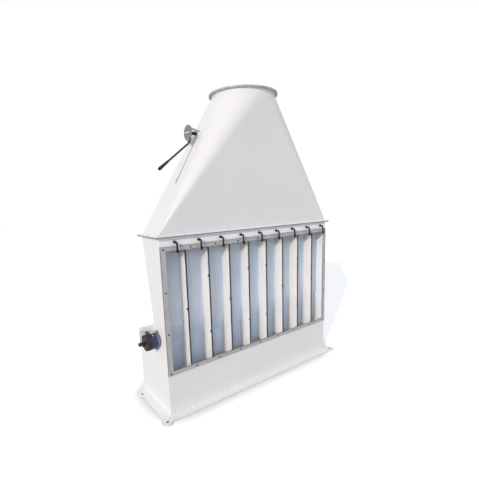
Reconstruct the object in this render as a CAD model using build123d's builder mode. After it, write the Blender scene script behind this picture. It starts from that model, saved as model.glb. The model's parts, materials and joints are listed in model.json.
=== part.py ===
"""Aspiration channel: a tall sheet-metal air separator in nine windowed bays under a suction hood.

Frame: origin at floor level in the middle of the four base bolt holes.
X runs along the width, Y from the window side to the feed side, Z up.  All sizes in millimetres.
"""
import os
from math import cos, hypot, radians, sin

from build123d import *

# Sheet and stock
sheet = 3.0  # body and hood sheet
flange_plate = 6.0  # flat bar of the bolted flanges
fit_gap = 0.3  # running clearance on a radius, and at a loose seat

# Body
body_width = 1506.0
body_height = 1144.0  # floor to the joint with the hood
top_depth = 247.0
throat_depth = 165.0
base_depth = 425.0
throat_top = 602.0  # the rear wall stops leaning and drops plumb
throat_bottom = 440.0  # lower edge of the rear wall, over the feed slot
cheek_top = 436.0  # upper end of the sloping cheek beside the feed slot
ledge_height = 323.0  # top of the rear lower wall

# Base flange and its four bolts
base_flange_width = 55.0
base_hole = 14.0
base_hole_out = 44.0  # hole centre from the side plate
base_hole_ahead = 40.0  # front holes, ahead of the front panel
base_hole_back = 68.0  # rear holes, forward of the rear wall
base_tab_radius = 31.0
base_corner_radius = 12.0

# Front: header, window, strips and lower panel
window_bottom = 277.0
window_below_joint = 60.0  # top of the window under the hood joint
frame_inset = 3.0  # clamping frame inside the body's edge
rail_height = 26.0
stile_width = 32.0
strip_thickness = 4.0
window_thickness = 5.0
seal_width = 8.0
seal_depth = 6.0

# Bays
bay_count = 9
partition_bottom = 262.0
inner_depth = 83.0  # window plane to the inner wall, upper part
inner_depth_low = 112.0  # the same below the bend
bend_top = 560.0
bend_bottom = 440.0
inner_bottom = 250.0
inner_below_joint = 6.0

# Feed shelf behind the slot
shelf_run = 192.0
shelf_drop = 111.0
shelf_lip = 30.0

# Hood and outlet
hood_height = 875.0  # joint with the body to the round neck
hood_step = 5.0  # the hood stands this much inside the body's outline
hood_foot = 14.0  # straight foot, from the joint to the first slope
flange_overhang = 20.0
outlet_diameter = 434.0
collar_height = 23.0
ring_diameter = 470.0
ring_thickness = 8.0
ring_seat = 0.1  # radial gap between the ring and its collar
ring_hole = 7.0
ring_hole_count = 8
corner_bends = 14  # folds that turn each corner of the hood into a quarter of the outlet

# Flap levers, one to each bay
lever_below_joint = 34.0
lever_offset = 14.0  # to the right of the bay's middle
lever_rod = 10.0
rod_sides = 12
lever_reach = 32.0  # front panel to the hanging arm's centre line
lever_drop = 60.0
lever_splay = 6.0  # the arm's end stands this much further out
lever_bend = 11.0  # bend radius on the centre line
lever_knob = 14.0
lever_knob_length = 20.0
lever_nut = 19.0  # across corners
lever_nut_length = 8.0
flap_thickness = 3.0
flap_clearance = 6.0

# Main damper in the hood
damper_below_outlet = 256.0
damper_shaft = 20.0
shaft_end_out = 4.0  # free end past the hood's right side
blade_gap = 22.0  # blade edge to the hood sheet, at any angle
blade_thickness = 4.0
disc_diameter = 94.0
disc_thickness = 4.0
disc_stand_off = 76.0  # hood side to the disc's outer face, along the shaft
ear_reach = 50.0  # shaft centre to the middle of the disc's ear
ear_radius = 13.0
key_bar_length = 62.0
key_bar_width = 9.0
key_bar_thickness = 6.0
handle_turn = 22.0  # degrees from straight down, towards the windows
handle_rod = 10.0
handle_root = 42.0  # shaft centre to the rod's end, seated in the nut
handle_corner = 68.0  # shaft centre to the rod's bend
handle_slope = 36.7  # degrees between the rod and the shaft's line
handle_length = 309.0  # bend to the grip's end
handle_bend = 10.0
grip_diameter = 20.0
grip_length = 86.0
grip_wall_end = 14.0
grip_edge = 3.0
nut_flats = 16.0  # long nut that lies on the ear, across its flats
nut_length = 20.0
bracket_width = 40.0
bracket_thickness = 4.0
bracket_rise = 33.0  # shaft centre to the top of the bracket
bracket_fall = 14.0  # the arm comes down this much to the hood
bracket_gap = 7.0  # bracket plate to the disc

# Vibrator motor on its plate
motor_diameter = 98.0
motor_height = 487.0
motor_gap = 5.0  # side plate to the motor's flange
motor_foot = 5.0  # motor to its plate
motor_foot_width = 49.0
flange_end_step = 2.0  # the flange end is this much smaller in radius
flange_end_length = 18.0
lug_width = 20.0
lug_rise = 9.0
terminal_length = 26.0
terminal_width = 34.0
terminal_rise = 10.0
housing_length = 40.0
cap_length = 25.0
cap_diameter = 101.0
boss_diameter = 24.0
boss_length = 40.0
plate_reach = 100.0  # past the side plate
plate_behind = 150.0  # behind the rear wall
plate_top = 575.0
plate_bottom = 442.0
plate_thickness = 5.0
plate_corner = 18.0
plate_hole = 10.0
plate_hole_inset = 15.0
plate_hole_drop = 28.0

# Derived places
half_width = body_width / 2
bolt_span_x = body_width + 2 * base_hole_out
bolt_span_y = base_depth - base_hole_back + base_hole_ahead
front = -bolt_span_y / 2 + base_hole_ahead
back = front + base_depth
throat_back = front + throat_depth
top_back = front + top_depth
mid_y = front + top_depth / 2
bay_pitch = (body_width - sheet) / bay_count
partition_x = [bay_pitch * (k - bay_count / 2) for k in range(1, bay_count)]
bay_x = [bay_pitch * (k + 0.5 - bay_count / 2) for k in range(bay_count)]
inner_face = front + inner_depth
inner_face_low = front + inner_depth_low
window_outer = front - window_thickness
frame_half = half_width - frame_inset
hood_base = body_height
outlet_z = hood_base + hood_height
slope_start = hood_base + hood_foot
foot_half_width = half_width - hood_step
foot_half_depth = top_depth / 2 - hood_step
window_top = hood_base - window_below_joint
inner_top = hood_base - inner_below_joint
lever_height = hood_base - lever_below_joint
damper_height = outlet_z - damper_below_outlet
opening_bottom = window_bottom + rail_height
opening_top = window_top - rail_height
side_slope = (foot_half_width - outlet_diameter / 2) / (outlet_z - slope_start)
front_slope = (foot_half_depth - outlet_diameter / 2) / (outlet_z - slope_start)


def save(part, name):
    part.part.label = name
    export_step(part.part, f"parts/{name}.step")


def hood_half_width(z):
    return foot_half_width - side_slope * (z - slope_start)


def hood_half_depth(z):
    return foot_half_depth - front_slope * (z - slope_start)


def folded(points, side):
    """Section of a sheet folded along the points, with its thickness on the given side."""
    with BuildSketch(mode=Mode.PRIVATE) as section:
        with BuildLine():
            Polyline(*points)
            offset(amount=sheet, side=side, kind=Kind.INTERSECTION)
        make_face()
    return section.sketch_local


os.makedirs("parts", exist_ok=True)

# Base flange: a strip on the front and both sides, with a round tab at each bolt
base_holes = GridLocations(bolt_span_x, bolt_span_y, 2, 2)
with BuildPart() as base_flange:
    with BuildSketch() as flange_outline:
        with Locations((0, front + (base_depth - base_flange_width) / 2)):
            Rectangle(body_width + 2 * base_flange_width, base_depth + base_flange_width)
        fillet(flange_outline.vertices(), base_corner_radius)
        with base_holes:
            Circle(base_tab_radius)
        with Locations((0, front + base_depth / 2 + base_tab_radius)):
            Rectangle(body_width, base_depth + 2 * base_tab_radius, mode=Mode.SUBTRACT)
        with base_holes:
            Circle(base_hole / 2, mode=Mode.SUBTRACT)
    extrude(amount=flange_plate)
save(base_flange, "base_flange")

# Side plates: the profile with its waist and feed cheek, and a folded lip behind the frame's stile
side_profile = [
    (front + sheet, 0),
    (back, 0),
    (back, ledge_height),
    (throat_back, cheek_top),
    (throat_back, throat_top),
    (top_back, body_height),
    (front + sheet, body_height),
]
for name, hand in (("left_side_plate", -1), ("right_side_plate", 1)):
    with BuildPart() as side_plate:
        with BuildSketch(Plane.YZ.offset(hand * half_width)):
            with BuildLine():
                Polyline(*side_profile, close=True)
            make_face()
        extrude(amount=-hand * sheet)
        with BuildSketch(Plane.XZ.offset(-front)):
            with Locations((hand * (half_width - stile_width / 2), (opening_bottom + opening_top) / 2)):
                Rectangle(stile_width, opening_top - opening_bottom)
        extrude(amount=-sheet)
    save(side_plate, name)

# Lower front panel and header, both across the full width
with BuildPart() as lower_panel:
    with BuildSketch(Plane.XZ.offset(-front)):
        with Locations((0, opening_bottom / 2)):
            Rectangle(body_width, opening_bottom)
    extrude(amount=-sheet)
save(lower_panel, "lower_front_panel")

lever_x = [x + lever_offset for x in bay_x]
with BuildPart() as header:
    with BuildSketch(Plane.XZ.offset(-front)):
        with Locations((0, (opening_top + body_height) / 2)):
            Rectangle(body_width, body_height - opening_top)
        with Locations(*[(x, lever_height) for x in lever_x]):
            Circle(lever_rod / 2 + fit_gap, mode=Mode.SUBTRACT)
    extrude(amount=-sheet)
save(header, "header_panel")

# Rear wall: leans in to the throat, then drops plumb to the feed slot
inside_width = body_width - 2 * sheet
rear_lean = (top_depth - throat_depth) / (body_height - throat_top)
rear_top = (top_back + rear_lean * 2 * sheet, body_height + 2 * sheet)
with BuildPart() as rear_wall:
    with BuildSketch(Plane.YZ.offset(-inside_width / 2)):
        add(folded([rear_top, (throat_back, throat_top), (throat_back, throat_bottom)], Side.RIGHT))
    extrude(amount=inside_width)
    split(bisect_by=Plane.XY.offset(body_height), keep=Keep.BOTTOM)
save(rear_wall, "rear_wall")

# Rear lower wall and the shelf that leads the feed down and forward
with BuildPart() as rear_lower:
    with BuildSketch(Plane.XZ.offset(-back)):
        with Locations((0, ledge_height / 2)):
            Rectangle(inside_width, ledge_height)
    extrude(amount=sheet)
save(rear_lower, "rear_lower_wall")

shelf_back = back - sheet
shelf_line = [
    (shelf_back, ledge_height - shelf_lip),
    (shelf_back, ledge_height),
    (shelf_back - shelf_run, ledge_height - shelf_drop),
]
with BuildPart() as shelf:
    with BuildSketch(Plane.YZ.offset(-inside_width / 2)):
        add(folded(shelf_line, Side.LEFT))
    extrude(amount=inside_width)
save(shelf, "feed_shelf")

# Inner wall: the back of the nine bays, bent so that the channel widens below
inner_line = [
    (inner_face, inner_top),
    (inner_face, bend_top),
    (inner_face_low, bend_bottom),
    (inner_face_low, inner_bottom),
]
with BuildPart() as inner_wall:
    with BuildSketch(Plane.YZ.offset(-inside_width / 2)):
        add(folded(inner_line, Side.LEFT))
    extrude(amount=inside_width)
save(inner_wall, "inner_wall")

# Partitions between the bays, and the dark seals on their front edges
with BuildPart() as partitions:
    for x in partition_x:
        with BuildSketch(Plane.YZ.offset(x - sheet / 2)):
            with BuildLine():
                Polyline(
                    (front + seal_depth, inner_top),
                    (inner_face, inner_top),
                    (inner_face, bend_top),
                    (inner_face_low, bend_bottom),
                    (inner_face_low, partition_bottom),
                    (front + seal_depth, partition_bottom),
                    close=True,
                )
            make_face()
        extrude(amount=sheet)
save(partitions, "bay_partitions")

with BuildPart() as seals:
    with BuildSketch(Plane.XZ.offset(-front)):
        with Locations(*[(x, (opening_bottom + opening_top) / 2) for x in partition_x]):
            Rectangle(seal_width, opening_top - opening_bottom)
    extrude(amount=-seal_depth)
save(seals, "partition_seals")

# Window sheet and the four strips that clamp it
window_height = window_top - window_bottom
with BuildPart() as window:
    with BuildSketch(Plane.XZ.offset(-front)):
        with Locations((0, (window_bottom + window_top) / 2)):
            Rectangle(2 * frame_half, window_height)
    extrude(amount=window_thickness)
save(window, "window_sheet")

rails = {"top_rail": window_top - rail_height / 2, "bottom_rail": window_bottom + rail_height / 2}
for name, z in rails.items():
    with BuildPart() as rail:
        with BuildSketch(Plane.XZ.offset(-window_outer)):
            with Locations((0, z)):
                Rectangle(2 * frame_half, rail_height)
        extrude(amount=strip_thickness)
    save(rail, name)

for name, hand in (("left_stile", -1), ("right_stile", 1)):
    with BuildPart() as stile:
        with BuildSketch(Plane.XZ.offset(-window_outer)):
            with Locations((hand * (frame_half - stile_width / 2), (opening_bottom + opening_top) / 2)):
                Rectangle(stile_width, opening_top - opening_bottom)
        extrude(amount=strip_thickness)
    save(stile, name)

# The bolted joint between body and hood: two flat frames round the outside
joint_flanges = (
    ("body_flange", hood_base - flange_plate, half_width, top_depth / 2),
    ("hood_flange", hood_base, foot_half_width, foot_half_depth),
)
for name, level, opening_x, opening_y in joint_flanges:
    with BuildPart() as joint_flange:
        with BuildSketch(Plane.XY.offset(level)):
            with Locations((0, mid_y)):
                Rectangle(body_width + 2 * flange_overhang, top_depth + 2 * flange_overhang)
                Rectangle(2 * opening_x, 2 * opening_y, mode=Mode.SUBTRACT)
        extrude(amount=flange_plate)
    save(joint_flange, name)

# Hood: a folded transition from the rectangle of the body to the round outlet
def face_through(*points):
    return Face(Wire.make_polygon(points))


def transition(inset):
    """Solid inside the folded faces, drawn in by the inset.

    Each side is one flat triangle that ends in a point at the rim.  Between two sides, a fan of
    narrow triangles runs from the corner of the body to a quarter of the rim.
    """
    radius = outlet_diameter / 2 - inset
    rim_count = 4 * corner_bends
    rim = []
    for step in range(rim_count):
        turn = radians(360 * step / rim_count)
        rim.append(Vector(radius * cos(turn), mid_y + radius * sin(turn), outlet_z))
    reach_x = foot_half_width - inset
    reach_y = foot_half_depth - inset
    corners = []
    for side_x, side_y in ((1, 1), (-1, 1), (-1, -1), (1, -1)):
        corners.append(Vector(side_x * reach_x, mid_y + side_y * reach_y, slope_start))
    faces = [face_through(*rim), face_through(*corners)]
    for quarter, corner in enumerate(corners):
        first = quarter * corner_bends
        for step in range(first, first + corner_bends):
            faces.append(face_through(corner, rim[step], rim[(step + 1) % rim_count]))
        faces.append(face_through(corner, rim[(first + corner_bends) % rim_count], corners[(quarter + 1) % 4]))
    return Solid(Shell(faces))


shaft_plane = Plane(origin=(0, mid_y, damper_height), x_dir=(0, 1, 0), z_dir=(1, 0, 0))
shaft_left = hood_half_width(damper_height)
with BuildPart() as hood:
    add(transition(0))
    add(transition(sheet), mode=Mode.SUBTRACT)
    with BuildSketch(Plane.XY.offset(hood_base)):
        with Locations((0, mid_y)):
            Rectangle(2 * foot_half_width, 2 * foot_half_depth)
            Rectangle(2 * (foot_half_width - sheet), 2 * (foot_half_depth - sheet), mode=Mode.SUBTRACT)
    extrude(amount=hood_foot)
    with BuildSketch(shaft_plane.offset(-half_width)):
        Circle(damper_shaft / 2 + fit_gap)
    extrude(amount=2 * half_width, mode=Mode.SUBTRACT)
    with BuildSketch(Plane.XY.offset(outlet_z)):
        with Locations((0, mid_y)):
            Circle(outlet_diameter / 2)
            Circle(outlet_diameter / 2 - sheet, mode=Mode.SUBTRACT)
    extrude(amount=collar_height)
save(hood, "hood_shell")

with BuildPart() as ring:
    with BuildSketch(Plane.XY.offset(outlet_z + collar_height - ring_thickness)):
        with Locations((0, mid_y)):
            Circle(ring_diameter / 2)
            Circle(outlet_diameter / 2 + ring_seat, mode=Mode.SUBTRACT)
            with PolarLocations((outlet_diameter + ring_diameter) / 4, ring_hole_count):
                Circle(ring_hole / 2, mode=Mode.SUBTRACT)
    extrude(amount=ring_thickness)
save(ring, "outlet_ring")

# Flap levers: a bent rod through the header with a nut and a knob outside and a flap plate inside
arm_bottom = lever_height - lever_drop
arm_y = front - lever_reach
shaft_end = inner_face - flap_clearance
flap_right = bay_pitch / 2 - lever_offset - sheet / 2 - flap_clearance
flap_left = bay_pitch / 2 + lever_offset - sheet / 2 - flap_clearance
flap_front = front + hood_step + sheet + flap_clearance
for number, x in enumerate(lever_x, start=1):
    with BuildPart() as lever:
        with BuildLine(Plane.YZ.offset(x)) as rod_path:
            FilletPolyline(
                (shaft_end, lever_height),
                (arm_y, lever_height),
                (arm_y - lever_splay, arm_bottom),
                radius=lever_bend,
            )
        with BuildSketch(Plane(origin=rod_path.line @ 0, z_dir=rod_path.line % 0)):
            RegularPolygon(lever_rod / 2, rod_sides)
        sweep()
        with BuildSketch(Plane(origin=(x, arm_y - lever_splay, arm_bottom), z_dir=rod_path.line % 1)):
            RegularPolygon(lever_knob / 2, rod_sides)
        extrude(amount=-lever_knob_length)
        with BuildSketch(Plane.XZ.offset(-front + fit_gap)):
            with Locations((x, lever_height)):
                RegularPolygon(lever_nut / 2, 6)
        extrude(amount=lever_nut_length)
        with BuildSketch(Plane.YZ.offset(x - flap_thickness / 2)):
            with BuildLine():
                Polyline(
                    (flap_front, lever_height - flap_right),
                    (shaft_end, lever_height - flap_right),
                    (shaft_end, lever_height + flap_left),
                    (flap_front, lever_height + flap_left),
                    close=True,
                )
            make_face()
        extrude(amount=flap_thickness)
    save(lever, f"flap_lever_{number}")

# Main damper: shaft and blade inside the hood
disc_outer = -shaft_left - disc_stand_off
disc_inner = disc_outer + disc_thickness
shaft_right = shaft_left + shaft_end_out
blade_half_width = hood_half_depth(damper_height) - sheet - blade_gap
blade_half_length = blade_half_width + shaft_left
blade_half_length -= (blade_half_width + blade_gap) * hypot(1, side_slope)
with BuildPart() as damper:
    with BuildSketch(shaft_plane.offset(disc_inner)):
        Circle(damper_shaft / 2)
    extrude(amount=shaft_right - disc_inner)
    with BuildSketch(Plane.XZ.offset(-mid_y - blade_thickness / 2)):
        with Locations((0, damper_height)):
            SlotOverall(2 * blade_half_length, 2 * blade_half_width)
    extrude(amount=blade_thickness)
save(damper, "damper_blade")

ear_out = (-sin(radians(handle_turn)), -cos(radians(handle_turn)))
with BuildPart() as disc:
    with BuildSketch(shaft_plane.offset(disc_outer)):
        Circle(disc_diameter / 2)
        with Locations((ear_reach * ear_out[0], ear_reach * ear_out[1])):
            Circle(ear_radius)
        make_hull()
    extrude(amount=disc_thickness)
save(disc, "damper_disc")

with BuildPart() as key_bar:
    with BuildSketch(shaft_plane.offset(disc_outer)):
        Rectangle(key_bar_length, key_bar_width)
    extrude(amount=-key_bar_thickness)
save(key_bar, "damper_key_bar")

# Handle: a rod seated in a long nut on the ear, bent outwards, with a grip on its end
rod_line = disc_outer - nut_flats / 2
handle_down = Vector(0, *ear_out)


def handle_point(reach):
    """Point on the rod's line over the ear, at this distance from the shaft's centre."""
    return Vector(rod_line, mid_y, damper_height) + handle_down * reach


nut_start = ear_reach - nut_length / 2
nut_plane = Plane(
    origin=handle_point(nut_start),
    x_dir=handle_down.cross(Vector(1, 0, 0)),
    z_dir=handle_down,
)
with BuildPart() as nut:
    with BuildSketch(nut_plane):
        RegularPolygon(nut_flats / 2, 6, major_radius=False)
    extrude(amount=nut_length)
    with BuildSketch(nut_plane.offset(handle_root - nut_start)):
        Circle(handle_rod / 2 + fit_gap)
    extrude(amount=nut_length, mode=Mode.SUBTRACT)
save(nut, "handle_nut")

slope = radians(handle_slope)
handle_dir = Vector(-cos(slope), 0, 0) + handle_down * sin(slope)
grip_start = handle_point(handle_corner) + handle_dir * (handle_length - grip_length)
rod_end = grip_start + handle_dir * (grip_length - grip_wall_end)
with BuildPart() as handle:
    with BuildLine() as handle_path:
        FilletPolyline(
            handle_point(handle_root),
            handle_point(handle_corner),
            rod_end,
            radius=handle_bend,
        )
    with BuildSketch(Plane(origin=handle_path.line @ 0, z_dir=handle_path.line % 0)):
        Circle(handle_rod / 2)
    sweep()
save(handle, "damper_handle")

grip_plane = Plane(origin=grip_start, z_dir=handle_dir)
with BuildPart() as grip:
    with BuildSketch(grip_plane):
        Circle(grip_diameter / 2)
    extrude(amount=grip_length)
    chamfer(grip.edges().filter_by(GeomType.CIRCLE), grip_edge)
    with BuildSketch(grip_plane):
        Circle(handle_rod / 2 + fit_gap)
    extrude(amount=grip_length - grip_wall_end + fit_gap, mode=Mode.SUBTRACT)
save(grip, "damper_grip")

# Bracket that carries the shaft's outer bearing
bracket_face = disc_inner + bracket_gap
arm_z = damper_height + bracket_rise
arm_foot_z = arm_z - bracket_fall
with BuildPart() as bracket:
    with BuildSketch(shaft_plane.offset(bracket_face)):
        with Locations((0, (bracket_rise - bracket_width / 2) / 2)):
            Rectangle(bracket_width, bracket_rise + bracket_width / 2)
        Circle(damper_shaft / 2 + fit_gap, mode=Mode.SUBTRACT)
    extrude(amount=bracket_thickness)
    with BuildSketch(Plane.XZ.offset(-mid_y - bracket_width / 2)):
        with BuildLine():
            Polyline(
                (bracket_face, arm_z - bracket_thickness),
                (bracket_face, arm_z),
                (-hood_half_width(arm_foot_z), arm_foot_z),
                (-hood_half_width(arm_foot_z - bracket_thickness), arm_foot_z - bracket_thickness),
                close=True,
            )
        make_face()
    extrude(amount=bracket_width)
save(bracket, "damper_bracket")

# Vibrator motor beside the throat, on a plate that reaches out from the rear wall
motor_y = throat_back - motor_foot - motor_diameter / 2
motor_plane = Plane(origin=(-half_width - motor_gap, motor_y, motor_height), x_dir=(0, -1, 0), z_dir=(-1, 0, 0))
plate_left = -half_width - plate_reach
with BuildPart() as motor_plate:
    with BuildSketch(Plane.XZ.offset(-throat_back)) as plate_outline:
        with Locations(((plate_left - half_width + plate_behind) / 2, (plate_bottom + plate_top) / 2)):
            Rectangle(plate_reach + plate_behind, plate_top - plate_bottom)
        fillet(plate_outline.vertices().group_by(Axis.X)[0], plate_corner)
        with Locations((plate_left + plate_hole_inset, plate_top - plate_hole_drop)):
            Circle(plate_hole / 2, mode=Mode.SUBTRACT)
    extrude(amount=-plate_thickness)
save(motor_plate, "motor_plate")

with BuildPart() as flange_end:
    with BuildSketch(motor_plane):
        Circle(motor_diameter / 2 - flange_end_step)
        with Locations((-(motor_diameter / 4 + motor_foot / 2), 0)):
            Rectangle(motor_diameter / 2 + motor_foot, motor_foot_width)
        Rectangle(lug_width, motor_diameter + 2 * lug_rise)
    extrude(amount=flange_end_length)
save(flange_end, "motor_foot")

housing_plane = motor_plane.offset(flange_end_length)
with BuildPart() as housing:
    with BuildSketch(housing_plane):
        Circle(motor_diameter / 2)
    extrude(amount=housing_length)
    with BuildSketch(housing_plane.offset((housing_length - terminal_length) / 2)):
        with Locations((0, motor_diameter / 4 + terminal_rise / 2)):
            Rectangle(terminal_width, motor_diameter / 2 + terminal_rise)
    extrude(amount=terminal_length)
save(housing, "motor_housing")

cap_plane = housing_plane.offset(housing_length)
with BuildPart() as cap:
    with BuildSketch(cap_plane):
        Circle(cap_diameter / 2)
    extrude(amount=cap_length)
    with BuildSketch(cap_plane.offset(cap_length)):
        Circle(boss_diameter / 2)
    extrude(amount=boss_length)
save(cap, "motor_end_cap")
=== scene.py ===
"""Looks of the aspiration channel: paint, clear window, fasteners, smooth levers and the motor's details.

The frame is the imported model: metres, X to the right, Y away from the windows, Z up, floor at zero.
"""

import json
from math import cos, pi, radians, sin, tau

import bmesh
import bpy
from mathutils import Matrix, Vector


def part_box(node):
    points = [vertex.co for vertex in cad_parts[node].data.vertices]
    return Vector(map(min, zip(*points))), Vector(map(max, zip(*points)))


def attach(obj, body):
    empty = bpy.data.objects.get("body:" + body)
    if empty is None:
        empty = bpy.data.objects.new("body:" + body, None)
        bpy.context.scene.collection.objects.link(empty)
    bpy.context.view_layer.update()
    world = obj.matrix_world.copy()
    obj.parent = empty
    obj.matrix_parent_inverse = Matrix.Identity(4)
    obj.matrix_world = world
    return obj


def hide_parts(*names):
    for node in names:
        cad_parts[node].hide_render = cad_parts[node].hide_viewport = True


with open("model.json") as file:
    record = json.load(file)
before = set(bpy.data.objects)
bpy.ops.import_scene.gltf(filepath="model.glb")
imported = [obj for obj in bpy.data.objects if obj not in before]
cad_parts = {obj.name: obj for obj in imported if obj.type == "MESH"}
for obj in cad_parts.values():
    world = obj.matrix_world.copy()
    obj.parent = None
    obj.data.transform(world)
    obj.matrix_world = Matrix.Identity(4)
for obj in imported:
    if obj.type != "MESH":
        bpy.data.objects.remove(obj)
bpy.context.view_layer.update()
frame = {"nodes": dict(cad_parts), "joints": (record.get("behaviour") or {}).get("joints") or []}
MM = 0.001

# Camera of the photograph
IMAGE_SIDE = 479
SENSOR_WIDTH = 36.0
FOCAL_PIXELS = 338.81
CENTRE_PIXEL = (231.13, 261.27)
EYE = Vector((-1.578, -1.963, 1.3515))
CAMERA_RIGHT = Vector((0.7990, -0.6005, -0.0324))
CAMERA_AHEAD = Vector((0.5861, 0.7896, -0.1816))


# Shader building

FLOAT = "NodeSocketFloat"
COLOUR = "NodeSocketColor"
VECTOR = "NodeSocketVector"
FINISH_OUTPUTS = (("Colour", COLOUR), ("Roughness", FLOAT), ("Height", FLOAT))
MIX_FACTOR, MIX_FIRST, MIX_SECOND, MIX_RESULT = 0, 6, 7, 2  # a mix node's sockets when it mixes colours
NOISE_MIDDLE = (0.3, 0.7)  # most of a noise lies between these values
BUMP_DISTANCE = 0.4 * MM


def rgb(red, green, blue):
    return (red, green, blue, 1.0)


def grey(level):
    return rgb(level, level, level)


def add_node(tree, kind, inputs=None, **settings):
    """A new node with its settings, and its inputs set to values or linked from sockets."""
    node = tree.nodes.new(kind)
    for key, value in settings.items():
        setattr(node, key, value)
    for key, value in (inputs or {}).items():
        if isinstance(value, bpy.types.NodeSocket):
            tree.links.new(value, node.inputs[key])
        else:
            node.inputs[key].default_value = value
    return node


def start_group(name, inputs):
    """An empty finish group: the tree, its given inputs by name, and the node that takes its results."""
    group = bpy.data.node_groups.new(name, "ShaderNodeTree")
    for label, kind, value in inputs:
        socket = group.interface.new_socket(name=label, in_out="INPUT", socket_type=kind)
        socket.default_value = value
    for label, kind in FINISH_OUTPUTS:
        group.interface.new_socket(name=label, in_out="OUTPUT", socket_type=kind)
    return group, group.nodes.new("NodeGroupInput").outputs, group.nodes.new("NodeGroupOutput")


def end_group(group, result, *values):
    """The group, with its colour, roughness and height linked to its outputs."""
    for (label, _), value in zip(FINISH_OUTPUTS, values):
        group.links.new(value, result.inputs[label])
    return group


def maths(tree, operation, first, second):
    return add_node(tree, "ShaderNodeMath", {0: first, 1: second}, operation=operation).outputs[0]


def map_range(tree, value, ends, out_low=0.0, out_high=1.0):
    """The value, with the two ends carried to the output's low and high."""
    low, high = ends
    inputs = {"Value": value, "From Min": low, "From Max": high, "To Min": out_low, "To Max": out_high}
    return add_node(tree, "ShaderNodeMapRange", inputs).outputs["Result"]


def mix_colour(tree, factor, first, second, blend="MIX"):
    inputs = {MIX_FACTOR: factor, MIX_FIRST: first, MIX_SECOND: second}
    return add_node(tree, "ShaderNodeMix", inputs, data_type="RGBA", blend_type=blend).outputs[MIX_RESULT]


def noise(tree, vector, scale, detail, roughness):
    inputs = {"Vector": vector, "Scale": scale, "Detail": detail, "Roughness": roughness}
    return add_node(tree, "ShaderNodeTexNoise", inputs).outputs["Fac"]


def stretched(tree, vector, stretch):
    return add_node(tree, "ShaderNodeVectorMath", {0: vector, 1: stretch}, operation="MULTIPLY").outputs[0]


def mask(tree, pattern, ends, strength):
    """How far an effect covers: the pattern from where it begins to where it is full, times its strength."""
    return maths(tree, "MULTIPLY", map_range(tree, pattern, ends), strength)


def varied(tree, base, pattern, smoother, rougher):
    """The base roughness, moved by where the pattern is low or high."""
    return maths(tree, "ADD", map_range(tree, pattern, NOISE_MIDDLE, smoother, rougher), base)


def object_place(tree):
    return add_node(tree, "ShaderNodeTexCoord").outputs["Object"]


def part_of(tree, vector, axis):
    return add_node(tree, "ShaderNodeSeparateXYZ", {"Vector": vector}).outputs[axis]


# Paint film: scales are in cycles per metre, and a mask has the values where it begins and is full
CLOUD_SCALE = 2.6
CLOUD_MASK = (0.4, 0.75)
RUN_STRETCH = (26.0, 26.0, 1.4)
RUN_MASK = (0.5, 0.8)
SPECK_SCALE = 38.0
SPECK_MASK = (0.42, 0.72)
PAINT_SHADE = grey(0.55)


def make_paint_film():
    """Sprayed paint: soft cloudiness, run marks down the sheet, orange peel, and a speckled tint low down:
    dust, and on the white paint painted bounce light from the floor.
    """
    group, given, result = start_group("paint_film", [
        ("Paint", COLOUR, grey(0.8)),
        ("Cloudiness", FLOAT, 0.05),
        ("Run marks", FLOAT, 0.04),
        ("Peel scale", FLOAT, 420.0),
        ("Dust colour", COLOUR, rgb(0.55, 0.50, 0.43)),
        ("Dust", FLOAT, 0.3),
        ("Dust height", FLOAT, 0.25),
        ("Base roughness", FLOAT, 0.38),
    ])
    place = object_place(group)
    cloud = noise(group, place, CLOUD_SCALE, detail=4.0, roughness=0.55)
    runs = noise(group, stretched(group, place, RUN_STRETCH), 1.0, detail=3.0, roughness=0.6)
    darker = mix_colour(group, 1.0, given["Paint"], PAINT_SHADE, "MULTIPLY")
    tone = mix_colour(group, mask(group, cloud, CLOUD_MASK, given["Cloudiness"]), given["Paint"], darker)
    tone = mix_colour(group, mask(group, runs, RUN_MASK, given["Run marks"]), tone, darker)
    above_floor = part_of(group, place, "Z")
    low_down = map_range(group, above_floor, (0.0, given["Dust height"]), out_low=1.0, out_high=0.0)
    specks = noise(group, place, SPECK_SCALE, detail=5.0, roughness=0.7)
    # Speckled cover of the low tint, which on the white paint is painted bounce light from the floor
    low_tint_cover = mask(group, specks, SPECK_MASK, low_down)
    tone = mix_colour(group, maths(group, "MULTIPLY", low_tint_cover, given["Dust"]), tone, given["Dust colour"])
    peel = noise(group, place, given["Peel scale"], detail=1.0, roughness=0.4)
    rough = varied(group, given["Base roughness"], cloud, smoother=-0.05, rougher=0.08)
    return end_group(group, result, tone, rough, peel)


PATCH_SCALE = 22.0
PATCH_MASK = (0.4, 0.7)
GRAIN_TARNISH = 0.35  # how far the grain's high lines take on the tarnish


def make_rolled_metal():
    """Bare strip or bar: fine grain drawn out along one direction, with dull patches."""
    group, given, result = start_group("rolled_metal", [
        ("Metal", COLOUR, grey(0.5)),
        ("Tarnish", COLOUR, grey(0.3)),
        ("Patches", FLOAT, 0.5),
        ("Grain stretch", VECTOR, (1.0, 1.0, 1.0)),
        ("Grain scale", FLOAT, 300.0),
        ("Base roughness", FLOAT, 0.4),
    ])
    place = object_place(group)
    drawn = stretched(group, place, given["Grain stretch"])
    grain = noise(group, drawn, given["Grain scale"], detail=3.0, roughness=0.6)
    patches = noise(group, place, PATCH_SCALE, detail=5.0, roughness=0.65)
    dull = mask(group, patches, PATCH_MASK, given["Patches"])
    tone = mix_colour(group, dull, given["Metal"], given["Tarnish"])
    lines = map_range(group, grain, NOISE_MIDDLE, out_high=GRAIN_TARNISH)
    tone = mix_colour(group, lines, tone, given["Tarnish"])
    rough = varied(group, given["Base roughness"], grain, smoother=-0.08, rougher=0.12)
    return end_group(group, result, tone, rough, grain)


SPOT_MASK = (0.5, 0.66)


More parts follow.
